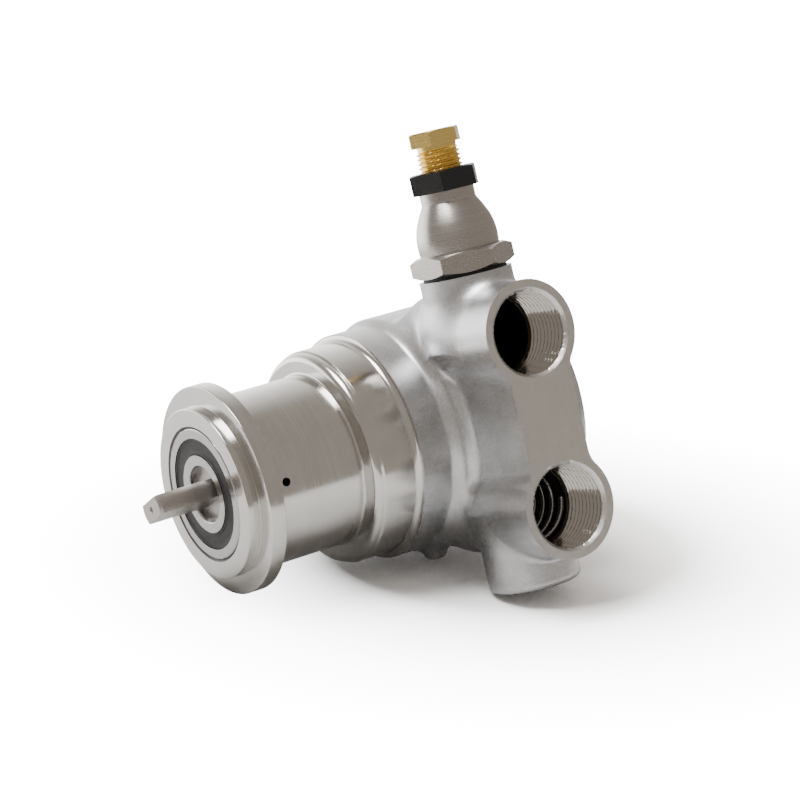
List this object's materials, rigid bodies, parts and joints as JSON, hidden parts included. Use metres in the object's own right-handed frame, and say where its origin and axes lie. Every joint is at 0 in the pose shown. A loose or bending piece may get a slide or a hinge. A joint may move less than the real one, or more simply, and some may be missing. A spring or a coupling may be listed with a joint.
{
  "type": "rotary vane pump",
  "caption": "Clamp-on rotary vane pump with a flat drive tang, two side pipe ports and an adjustable relief valve.",
  "frame": {"origin": "on the shaft's axis at the clamp flange's front face", "axes": "+X along the shaft away from the motor, +Z along the relief valve towards its adjusting screw; the ports face -Y"},
  "size_m": [0.132, 0.1014, 0.1386],
  "materials": {
    "cast_stainless": "bead-blasted casting with turned and milled faces",
    "turned_stainless": "fine turned",
    "bearing_steel": "ground",
    "cage_steel": "pressed sheet",
    "shaft_steel": "machined",
    "spring_steel": "drawn wire",
    "seal_rubber": "matte",
    "ceramic": "lapped ceramic",
    "carbon": "machined carbon graphite",
    "brass": "machined",
    "black_nylon": "satin"
  },
  "bodies": {
    "housing": {"pump_body": "cast_stainless", "bearing_outer_ring": "bearing_steel", "bearing_seals": "seal_rubber", "seal_seat": "ceramic", "seat_oring": "seal_rubber", "front_plate": "carbon", "cam_ring": "carbon", "rear_plate": "carbon", "locating_pins": "shaft_steel", "end_cover": "turned_stainless", "cover_oring": "seal_rubber", "retaining_ring": "spring_steel", "bonnet": "turned_stainless", "bonnet_gasket": "seal_rubber", "strainer_screen": "turned_stainless", "strainer_spring": "spring_steel", "relief_spring": "spring_steel"},
    "shaft": {"drive_shaft": "shaft_steel", "bearing_inner_ring": "bearing_steel", "seal_face": "carbon", "seal_bellows": "seal_rubber", "seal_spring": "spring_steel", "shaft_clip": "shaft_steel", "rotor": "shaft_steel"},
    "ball_set": {"bearing_balls": "bearing_steel", "bearing_cage": "cage_steel"},
    "poppet": {"relief_poppet": "brass", "poppet_oring": "seal_rubber"},
    "button": {"spring_button": "brass"},
    "screw": {"adjusting_screw": "brass"},
    "nut_ring": {"nut_seal": "seal_rubber"},
    "nut": {"lock_nut": "black_nylon"},
    "vane_1_body": {"vane_1": "carbon"},
    "vane_2_body": {"vane_2": "carbon"},
    "vane_3_body": {"vane_3": "carbon"},
    "vane_4_body": {"vane_4": "carbon"},
    "vane_5_body": {"vane_5": "carbon"},
    "vane_6_body": {"vane_6": "carbon"}
  },
  "joints": [
    {"name": "shaft_spin", "type": "hinge", "parent": "housing", "child": "shaft", "pos_m": [0, 0, 0], "axis": [1, 0, 0], "continuous": true},
    {"name": "ball_set_spin", "type": "hinge", "parent": "housing", "child": "ball_set", "pos_m": [0, 0, 0], "axis": [1, 0, 0], "continuous": true},
    {"name": "vane_1_slide", "type": "slide", "parent": "shaft", "child": "vane_1_body", "axis": [0, 1, 0], "range_m": [0, 0.00245]},
    {"name": "vane_2_slide", "type": "slide", "parent": "shaft", "child": "vane_2_body", "axis": [0, 0.5, 0.866], "range_m": [0, 0.00065]},
    {"name": "vane_3_slide", "type": "slide", "parent": "shaft", "child": "vane_3_body", "axis": [0, -0.5, 0.866], "range_m": [0, 0.00065]},
    {"name": "vane_4_slide", "type": "slide", "parent": "shaft", "child": "vane_4_body", "axis": [0, -1, 0], "range_m": [0, 0.00245]},
    {"name": "vane_5_slide", "type": "slide", "parent": "shaft", "child": "vane_5_body", "axis": [0, -0.5, -0.866], "range_m": [0, 0.00065]},
    {"name": "vane_6_slide", "type": "slide", "parent": "shaft", "child": "vane_6_body", "axis": [0, 0.5, -0.866], "range_m": [0, 0.00065]},
    {"name": "poppet_lift", "type": "slide", "parent": "housing", "child": "poppet", "axis": [0, 0, 1], "range_m": [0, 0.003], "stiffness_N_per_m": 4000, "springref_m": -0.008, "deforming": ["relief_spring"]},
    {"name": "button_slide", "type": "slide", "parent": "housing", "child": "button", "axis": [0, 0, 1], "range_m": [-0.00401, 0.00267]},
    {"name": "screw_turn", "type": "hinge", "parent": "button", "child": "screw", "pos_m": [0.0782, -0.0374, 0.0862], "axis": [0, 0, 1], "range_deg": [-1080, 720]},
    {"name": "nut_ring_slide", "type": "slide", "parent": "housing", "child": "nut_ring", "axis": [0, 0, 1], "range_m": [0, 0.00267]},
    {"name": "nut_turn", "type": "hinge", "parent": "nut_ring", "child": "nut", "pos_m": [0.0782, -0.0374, 0.0736], "axis": [0, 0, 1], "range_deg": [0, 720]}
  ],
  "couplings": [
    {"joint": "ball_set_spin", "follows": "shaft_spin", "ratio": 0.3817},
    {"joint": "button_slide", "follows": "screw_turn", "m_per_rad": 0.00021279},
    {"joint": "nut_ring_slide", "follows": "nut_turn", "m_per_rad": 0.00021279}
  ]
}
